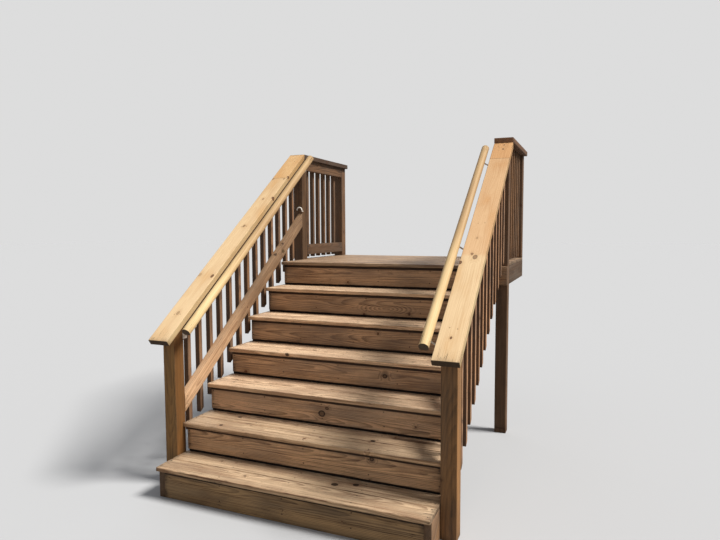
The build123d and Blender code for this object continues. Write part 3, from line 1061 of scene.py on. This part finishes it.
HEAD_SIDES = 16
HEAD_SCATTER = 0.003
HEAD_CLEARANCE = 0.0006
DOWN = (0.0, 0.0, -1.0)
INWARD = (0.0, 1.0, 0.0)

# Rings of a head from its foot to its middle: share of its radius, height, and width between star points
HEAD_RIM = ((1.0, -0.0030, 1.0), (1.0, 0.0001, 1.0), (0.86, 0.0005, 1.0))
STAR = ((0.45, 0.0004, 0.42), (0.38, -0.0012, 0.42))
DOME = ((0.4, 0.0008, 1.0),)


class Fasteners:
    """Screw or nail heads set into the planks' faces, joined into one piece."""

    def __init__(self, name, radius, recess):
        self.name = name
        self.radius = radius
        self.outline = HEAD_RIM + recess
        self.mesh_edit = bmesh.new()
        self.chance = random.Random(name)

    def drive(self, node, start, direction):
        """Sets a head into the first face of a node that a line from start meets."""
        scatter = [self.chance.uniform(-HEAD_SCATTER, HEAD_SCATTER) * (1 - abs(part)) for part in direction]
        place, normal, _, _ = surface_of[node].ray_cast(Vector(start) + Vector(scatter), Vector(direction))
        if place is None:
            return
        for axis in (X, Y, Z):
            place[axis] = max(place[axis], cad_low[axis] + HEAD_CLEARANCE)
            place[axis] = min(place[axis], cad_high[axis] - HEAD_CLEARANCE)
        turn = normal.to_track_quat("Z", "Y").to_matrix()
        spin = self.chance.uniform(0, math.tau)
        rings = []
        for share, height, star in self.outline:
            ring = []
            for side in range(HEAD_SIDES):
                angle = spin + math.tau * side / HEAD_SIDES
                reach = self.radius * share * (star if side % 4 else 1.0)
                offset = Vector((math.cos(angle) * reach, math.sin(angle) * reach, height))
                ring.append(self.mesh_edit.verts.new(place + turn @ offset))
            rings.append(ring)
        join_rings(self.mesh_edit, rings)

    def finish(self, material):
        """Turns the heads into a piece."""
        piece = add_object(self.name, self.mesh_edit, material)
        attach(piece, "root")


BOARD_SCREWS = (0.030, 0.110)
SECOND_BOARD_SCREWS = (BOARD + SEAM + 0.030, BOARD + SEAM + 0.105)
RISER_SCREWS = (0.048, 0.132)
RISER_SCREW_REACH = 0.798
CAP_SCREW_PLACES = (0.848, 0.888)
SLOPING_CAP_SCREWS = (0.18, 0.92, 1.66)
RETURN_CAP_SCREWS = (0.043, 0.45, 0.87)
RAIL_DROPS = {"upper": 0.102, "lower": 0.557}
RAIL_NAIL_LIFTS = (-0.025, 0.025)
RAIL_NAIL_INSET = 0.022
UPPER_END_INSET = 0.030
BALUSTER_NAILS = ((-0.008, 0.018), (0.008, -0.018))
TREADS = 6
RISERS = 7
LANDING_BOARDS = 9

# Where the lines begin along which fasteners are driven
AWAY = 0.1
INSIDE, OUTSIDE = 0.7, 1.1


def add_deck_screws():
    """Screws through the treads and the landing's boards into what carries them."""
    screws = Fasteners("deck_screws", 0.0042, STAR)
    for number in range(1, TREADS + 1):
        for x in STRINGER_PLACES:
            for inset in BOARD_SCREWS + SECOND_BOARD_SCREWS:
                screws.drive(f"tread_{number}", on_tread(number, x, inset, depth=-AWAY), DOWN)
    for index in range(LANDING_BOARDS):
        for x in STRINGER_PLACES:
            for inset in BOARD_SCREWS:
                y = LANDING_FRONT + index * (BOARD + SEAM) + inset
                screws.drive("landing_boards", (x, y, LANDING_TOP + AWAY), DOWN)
    screws.finish(STEEL.material)


def add_riser_screws():
    """Screws through the risers into the stringers. The lowest riser has none at its ends."""
    screws = Fasteners("riser_screws", 0.0040, STAR)
    for number in range(1, RISERS + 1):
        for place in STRINGER_PLACES if number > 1 else STRINGER_PLACES[1:-1]:
            for height in RISER_SCREWS:
                reach = math.copysign(min(abs(place), RISER_SCREW_REACH), place)
                x, y, z = on_riser(number, reach, height)
                screws.drive("risers", (x, y - AWAY, z), INWARD)
    screws.finish(STEEL.material)


def drive_cap_screws(screws, word, side):
    """Screws down through the caps of one side."""
    for x in CAP_SCREW_PLACES:
        for up in SLOPING_CAP_SCREWS:
            screws.drive(f"{word}_sloping_cap", on_cap(word, x, up, depth=-AWAY), DOWN)
        for back in RETURN_CAP_SCREWS:
            place = (side * x, UPPER_POST_FRONT + back, cad_high[Z] + AWAY)
            screws.drive(f"{word}_return_cap", place, DOWN)


def drive_rail_nails(nails, word, side):
    """Nails from inside through the ends of the rails of one side."""
    outward = (float(side), 0.0, 0.0)
    for rail, drop in RAIL_DROPS.items():
        for y in (LOWER_POST_BACK + RAIL_NAIL_INSET, UPPER_POST_FRONT - UPPER_END_INSET):
            for lift in RAIL_NAIL_LIFTS:
                place = (side * INSIDE, y, cap_height(word, y) - drop + lift)
                nails.drive(f"{word}_{rail}_sloping_rail", place, outward)
    for rail in ("top", "bottom"):
        node = f"{word}_return_{rail}_rail"
        for y in (UPPER_POST_BACK + RAIL_NAIL_INSET, WALL_POST_FRONT - RAIL_NAIL_INSET):
            for lift in RAIL_NAIL_LIFTS:
                nails.drive(node, (side * INSIDE, y, middle(node, Z) + lift), outward)


def drive_baluster_nails(nails, word, side):
    """Nails from outside through the balusters of one side into the rails."""
    inward = (-float(side), 0.0, 0.0)
    for kind in ("sloping", "return"):
        node = f"{word}_{kind}_balusters"
        for axes, middles, _ in planks_of[node]:
            y = sum(axis.y * place for axis, place in zip(axes, middles))
            if kind == "sloping":
                heights = [cap_height(word, y) - drop for drop in RAIL_DROPS.values()]
            else:
                heights = [middle(f"{word}_return_{rail}_rail", Z) for rail in ("top", "bottom")]
            for height in heights:
                for shift, lift in BALUSTER_NAILS:
                    nails.drive(node, (side * OUTSIDE, y + shift, height + lift), inward)


def add_guard_fasteners():
    """The screws and nails of both guards."""
    cap_screws = Fasteners("cap_screws", 0.0038, STAR)
    rail_nails = Fasteners("rail_nails", 0.0032, DOME)
    baluster_nails = Fasteners("baluster_nails", 0.0030, DOME)
    for word, side in SIDES.items():
        drive_cap_screws(cap_screws, word, side)
        drive_rail_nails(rail_nails, word, side)
        drive_baluster_nails(baluster_nails, word, side)
    cap_screws.finish(COATED.material)
    rail_nails.finish(STEEL.material)
    baluster_nails.finish(STEEL.material)


add_deck_screws()
add_riser_screws()
add_guard_fasteners()

# Hook

HOOK_MIDDLE = Vector((-0.846, UPPER_POST_FRONT - 0.016, LANDING_TOP + 0.429))
HOOK_RADIUS = 0.022
HOOK_DEPTH = 0.020
WIRE_RADIUS = 0.0056
WIRE_SIDES = 10
ARCH_STEPS = 12
ARCH_FLATNESS = 0.8


def hook_path():
    """The middle line of the hook: an arch whose right leg goes back into the post."""
    path = [Vector((-0.94, -0.15, -0.25)) * HOOK_RADIUS]
    for step in range(ARCH_STEPS + 1):
        angle = math.pi * (1 - step / ARCH_STEPS)
        path.append(Vector((math.cos(angle), 0.0, math.sin(angle) * ARCH_FLATNESS)) * HOOK_RADIUS)
    for back, height in ((0.0, -0.4), (0.25 * HOOK_DEPTH, -0.62), (HOOK_DEPTH, -0.7)):
        path.append(Vector((HOOK_RADIUS, back, height * HOOK_RADIUS)))
    return path


def add_hook():
    """The small white wire hook on the front of the upper left post."""
    path = hook_path()
    mesh_edit = bmesh.new()
    rings = []
    for index, place in enumerate(path):
        ahead = path[min(index + 1, len(path) - 1)] - path[max(index - 1, 0)]
        turn = ahead.to_track_quat("Z", "Y").to_matrix()
        ring = []
        for side in range(WIRE_SIDES):
            angle = math.tau * side / WIRE_SIDES
            offset = turn @ Vector((math.cos(angle) * WIRE_RADIUS, math.sin(angle) * WIRE_RADIUS, 0.0))
            ring.append(mesh_edit.verts.new(HOOK_MIDDLE + place + offset))
        rings.append(ring)
    join_rings(mesh_edit, rings)
    bmesh.ops.recalc_face_normals(mesh_edit, faces=mesh_edit.faces)
    piece = add_object("post_hook", mesh_edit, ENAMEL.material, smooth=True)
    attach(piece, "root")


add_hook()

# Floor and light

FLOOR_SIZE = 60
FLOOR_SEEN = (0.4815, 0.5005, 0.536, 1.0)
FLOOR_BOUNCED = (0.24, 0.235, 0.225, 1.0)
WHITE = (1.0, 1.0, 1.0)
WARM = (1.0, 0.95, 0.87)


def add_floor():
    """A wide plain pale floor, which throws back little light, as the real ground does."""
    mesh_edit = bmesh.new()
    bmesh.ops.create_grid(mesh_edit, x_segments=1, y_segments=1, size=FLOOR_SIZE)
    paint = Graph("floor_paint")
    path = paint.nodes.new("ShaderNodeLightPath")
    tint = paint.mix(path.outputs["Is Camera Ray"], FLOOR_BOUNCED, FLOOR_SEEN)
    paint.set(paint.shader.inputs["Base Color"], tint)
    paint.shader.inputs["Roughness"].default_value = 0.9
    paint.shader.inputs["Specular IOR Level"].default_value = 0.0
    add_object("floor", mesh_edit, paint.material)


def add_sun(name, towards, strength, softness, tint):
    """A soft distant lamp. towards points from the stairs to the lamp, and softness is in degrees."""
    data = bpy.data.lights.new(name, "SUN")
    data.energy = strength
    data.angle = math.radians(softness)
    data.color = tint
    lamp = bpy.data.objects.new(name, data)
    lamp.rotation_euler = Vector(towards).to_track_quat("Z", "Y").to_euler()
    bpy.context.scene.collection.objects.link(lamp)


def add_world(light, seen):
    """Even light from all round. The camera sees it as bright as the floor, so no horizon shows."""
    world = bpy.data.worlds.new("studio")
    world.use_nodes = True
    nodes = world.node_tree.nodes
    links = world.node_tree.links
    background = nodes["Background"]
    path = nodes.new("ShaderNodeLightPath")
    brightness = nodes.new("ShaderNodeMapRange")
    brightness.inputs["To Min"].default_value = light
    brightness.inputs["To Max"].default_value = seen
    links.new(path.outputs["Is Camera Ray"], brightness.inputs["Value"])
    links.new(brightness.outputs[0], background.inputs["Strength"])
    background.inputs["Color"].default_value = (*WHITE, 1.0)
    bpy.context.scene.world = world


add_floor()
add_sun("key", (0.60, 0.08, 0.80), strength=4.6, softness=18, tint=WARM)
add_sun("fill", (0.3, -0.9, 0.35), strength=0.10, softness=60, tint=WHITE)
add_sun("back", (-0.55, 0.80, 0.20), strength=0.55, softness=60, tint=WHITE)
add_world(light=0.28, seen=0.722)
bpy.context.scene.view_settings.view_transform = "Standard"
